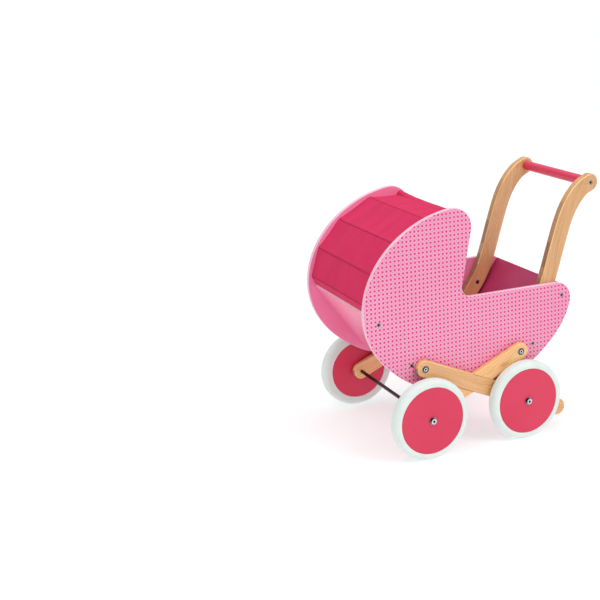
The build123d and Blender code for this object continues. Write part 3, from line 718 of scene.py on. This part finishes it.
def build_hood():
    rows = stations()
    nx = 190
    xs = [-HALF_W + 2 * HALF_W * k / nx for k in range(nx + 1)]
    # the hem is turned up: outer layer to the hem, round it, and back up on the inside
    hem_r = 0.0011
    path = [(s, 0.0) for s in rows]
    verts, uvs, faces = [], [], []
    sheet_s = 0.0
    prev = None
    for s, off in path:
        for x in xs:
            verts.append(hood_point(x, s, off))
            uvs.append((x, s))
    n_rows = len(path)
    # turned hem
    extra = []
    for k in range(1, 7):
        a = math.pi * k / 6
        extra.append(("arc", a))
    up = [LEN - d for d in (0.0012, 0.003, 0.005, 0.007, 0.0085, 0.0098)]
    s_uv = LEN
    for kind, a in extra:
        s_uv += hem_r * math.pi / 6
        for x in xs:
            q = Vector(hood_point(x, LEN, 0.0))
            b = Vector(hood_point(x, LEN - 0.002, 0.0))
            t = (q - b).normalized()
            n = Vector((0, at(LEN)[1][0], at(LEN)[1][1]))
            verts.append(tuple(q - n * hem_r * (1 - math.cos(a)) + t * hem_r * math.sin(a)))
            uvs.append((x, s_uv))
    for s in up:
        s_uv += 0.0018
        for x in xs:
            q = Vector(hood_point(x, s, 0.0))
            n = Vector((0, at(s)[1][0], at(s)[1][1]))
            gap = 2 * hem_r if s > HEM_LINE + 0.001 else 0.0013
            verts.append(tuple(q - n * gap))
            uvs.append((x, s_uv))
    total = n_rows + len(extra) + len(up)
    for r in range(total - 1):
        for k in range(nx):
            a = r * (nx + 1) + k
            faces.append((a, a + 1, a + 1 + nx + 1, a + nx + 1))
    o = mesh_obj("hood_sheet", verts, faces, [fabric], True, uvs)
    # per-vertex weight of the painted seam shade, highest in each groove
    seam_painted_shade = o.data.attributes.new("seam_painted_shade", "FLOAT", "POINT")
    vals = []
    for x, s in uvs:
        v = 0.0
        for i, (ps, depth, ridge) in enumerate(PINCH[:4]):
            wob = 0.00035 * noise.noise(Vector((x * 34, ps * 40, 7.0)))
            d = s - ps - wob
            v = max(v, math.exp(-((d + 0.0002) / 0.00125) ** 2))
        vals.append(v)
    seam_painted_shade.data.foreach_set("value", vals)
    sol = o.modifiers.new("thick", "SOLIDIFY")
    sol.thickness = CLOTH
    sol.offset = 0.0
    sol.use_rim = True
    return o


hood = build_hood()


def build_channels():
    """Inner strips that hold the rods, sewn to the sheet on both sides of each rod."""
    verts, uvs, faces = [], [], []
    nx = 96
    xs = [-HALF_W + 0.001 + 2 * (HALF_W - 0.001) * k / nx for k in range(nx + 1)]
    base = 0
    for i, c in enumerate(RODS[:4]):
        s0, s1 = ROD_S[i] - 0.0085, ROD_S[i] + 0.0085
        (ya, za), na = at(s0)
        (yb, zb), nb = at(s1)
        pa = (ya - na[0] * 0.0020, za - na[1] * 0.0020)
        pb = (yb - nb[0] * 0.0020, zb - nb[1] * 0.0020)
        r = ROD_R + 0.0009
        n = at(ROD_S[i])[1]
        loop = [pa]
        a_in = math.atan2(-n[1], -n[0])
        span = math.radians(74)
        for k in range(13):
            a = a_in - span + 2 * span * k / 12
            loop.append((c[0] + r * math.cos(a), c[1] + r * math.sin(a)))
        loop.append(pb)
        if math.dist(loop[1], pa) > math.dist(loop[-2], pa):
            loop = [pa] + loop[1:-1][::-1] + [pb]
        cu = 0.0
        for j, (y, z) in enumerate(loop):
            if j:
                cu += math.dist(loop[j - 1], (y, z))
            for x in xs:
                w = 0.00025 * noise.noise(Vector((x * 60, cu * 90, i * 3.0)))
                verts.append((x, y - n[0] * abs(w), z - n[1] * abs(w)))
                uvs.append((x, cu))
        for r_ in range(len(loop) - 1):
            for k in range(nx):
                a = base + r_ * (nx + 1) + k
                faces.append((a, a + 1, a + 1 + nx + 1, a + nx + 1))
        base = len(verts)
    o = mesh_obj("hood_channels", verts, faces, [fabric], True, uvs)
    sol = o.modifiers.new("thick", "SOLIDIFY")
    sol.thickness = 0.0007
    sol.offset = 0.0
    return o


channels = build_channels()


def build_stitches():
    """Rows of thread on the outside, each stitch a short bent strand that dips in at both ends."""
    verts, faces = [], []
    lines = [ps + 0.0028 for ps, d, r in PINCH[:4]] + [SEAM5 - 0.0016, HEM_LINE]
    pitch, ln, rad = 0.0031, 0.0023, 0.00020
    for ps in lines:
        x = -HALF_W + 0.003
        while x < HALF_W - 0.003:
            centre = []
            for k in range(5):
                t = k / 4
                xx = x + ln * t
                lift = 0.00075 * math.sin(math.pi * t) ** 0.6 - 0.00012
                p = Vector(hood_point(xx, ps, CLOTH / 2 - 0.0002 + lift * 0.55))
                centre.append(p)
            n = Vector((0, at(ps)[1][0], at(ps)[1][1]))
            side = Vector((0, -n.z, n.y))
            b = len(verts)
            for k, p in enumerate(centre):
                rr = rad * (0.55 if k in (0, 4) else 1.0)
                for j in range(6):
                    a = 2 * math.pi * j / 6
                    verts.append(tuple(p + n * rr * math.cos(a) + side * rr * math.sin(a)))
            for k in range(4):
                for j in range(6):
                    a0 = b + k * 6 + j
                    a1 = b + k * 6 + (j + 1) % 6
                    faces.append((a0, a1, a1 + 6, a0 + 6))
            faces.append(tuple(b + j for j in reversed(range(6))))
            faces.append(tuple(b + 24 + j for j in range(6)))
            x += pitch
    return mesh_obj("hood_stitches", verts, faces, [thread], True)


stitches = build_stitches()
for o in (hood, channels, stitches):
    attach(o, "frame")
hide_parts("hood_fabric")


# ------------------------------------------------------------------ floor, light, camera
def floor():
    m = Mat("studio_floor", 0.9)
    p = m.coord()
    f = m.noise(p, 3.0, 2.0)
    m.b.inputs["Specular IOR Level"].default_value = 0.1
    m.done(m.mix(m.step(f, 0.3, 0.7), lin(214, 197, 198), lin(212, 195, 196)))
    m.b.inputs["Emission Color"].default_value = (0.43, 0.54, 0.536, 1.0)
    m.b.inputs["Emission Strength"].default_value = 1.0
    n, R = 48, 40.0
    verts = [(0, 0, -0.0002)]
    radii = [0.5, 1.5, 5, 15, R]
    for r in radii:
        for k in range(n):
            a = 2 * math.pi * k / n
            verts.append((r * math.cos(a), r * math.sin(a), -0.0002))
    faces = [(0, 1 + k, 1 + (k + 1) % n) for k in range(n)]
    for i in range(len(radii) - 1):
        for k in range(n):
            a, b = 1 + i * n + k, 1 + i * n + (k + 1) % n
            faces.append((a, a + n, b + n, b))
    o = mesh_obj("floor", verts, faces, [m.m], False)


floor()

world = bpy.data.worlds.new("studio")
scene.world = world
world.use_nodes = True
bg = world.node_tree.nodes["Background"]
bg.inputs["Color"].default_value = (1.0, 1.0, 1.0, 1.0)
bg.inputs["Strength"].default_value = 1.0
wt = world.node_tree
sky_c = wt.nodes.new("ShaderNodeTexCoord")
sky_s = wt.nodes.new("ShaderNodeSeparateXYZ")
sky_m = wt.nodes.new("ShaderNodeMapRange")
sky_m.interpolation_type = "SMOOTHSTEP"
sky_m.inputs[3].default_value, sky_m.inputs[4].default_value = 0.30, 0.92
wt.links.new(sky_c.outputs["Generated"], sky_s.inputs[0])
wt.links.new(sky_s.outputs[2], sky_m.inputs[0])
wt.links.new(sky_m.outputs[0], bg.inputs["Strength"])


def area(name, loc, target, size, watts, color=(1, 1, 1)):
    l = bpy.data.lights.new(name, "AREA")
    l.shape = "RECTANGLE"
    l.size, l.size_y = size
    l.energy = watts
    l.color = color
    o = bpy.data.objects.new(name, l)
    o.location = loc
    d = Vector(target) - Vector(loc)
    o.rotation_mode = "QUATERNION"
    o.rotation_quaternion = d.to_track_quat("-Z", "Y")
    scene.collection.objects.link(o)
    return o


sun = bpy.data.lights.new("key", "SUN")
sun.energy = 0.76
sun.angle = math.radians(24)
sun_o = bpy.data.objects.new("key", sun)
sun_o.rotation_mode = "QUATERNION"
sun_o.rotation_quaternion = Vector((-1.0, -0.62, -0.95)).to_track_quat("-Z", "Y")
scene.collection.objects.link(sun_o)
area("top_soft", (0.2, 0.5, 2.3), (0, 0, 0.2), (1.8, 1.8), 7.0)

area("rim", (0.3, -1.15, 2.3), (0, 0, 0.25), (0.7, 0.7), 9.0)

cam = bpy.data.cameras.new("camera")
cam.sensor_fit = "HORIZONTAL"
cam.sensor_width = 36.0
cam.lens = 71.1
cam.shift_x = -0.1797
cam.shift_y = -0.1618
cam.clip_start, cam.clip_end = 0.05, 100.0
cam_o = bpy.data.objects.new("camera", cam)
az, el, roll = math.radians(62.8), math.radians(11.616), math.radians(-0.715)
back = Vector((math.sin(az) * math.cos(el), -math.cos(az) * math.cos(el), math.sin(el)))
fwd = -back
right = fwd.cross(Vector((0, 0, 1))).normalized()
up = right.cross(fwd)
R = right * math.cos(roll) + up * math.sin(roll)
U = -right * math.sin(roll) + up * math.cos(roll)
m3 = Matrix((R, U, back)).transposed()
cam_o.matrix_world = Matrix.Translation(Vector((1.91899, -1.08104, 0.88090))) @ m3.to_4x4()
scene.collection.objects.link(cam_o)
scene.camera = cam_o
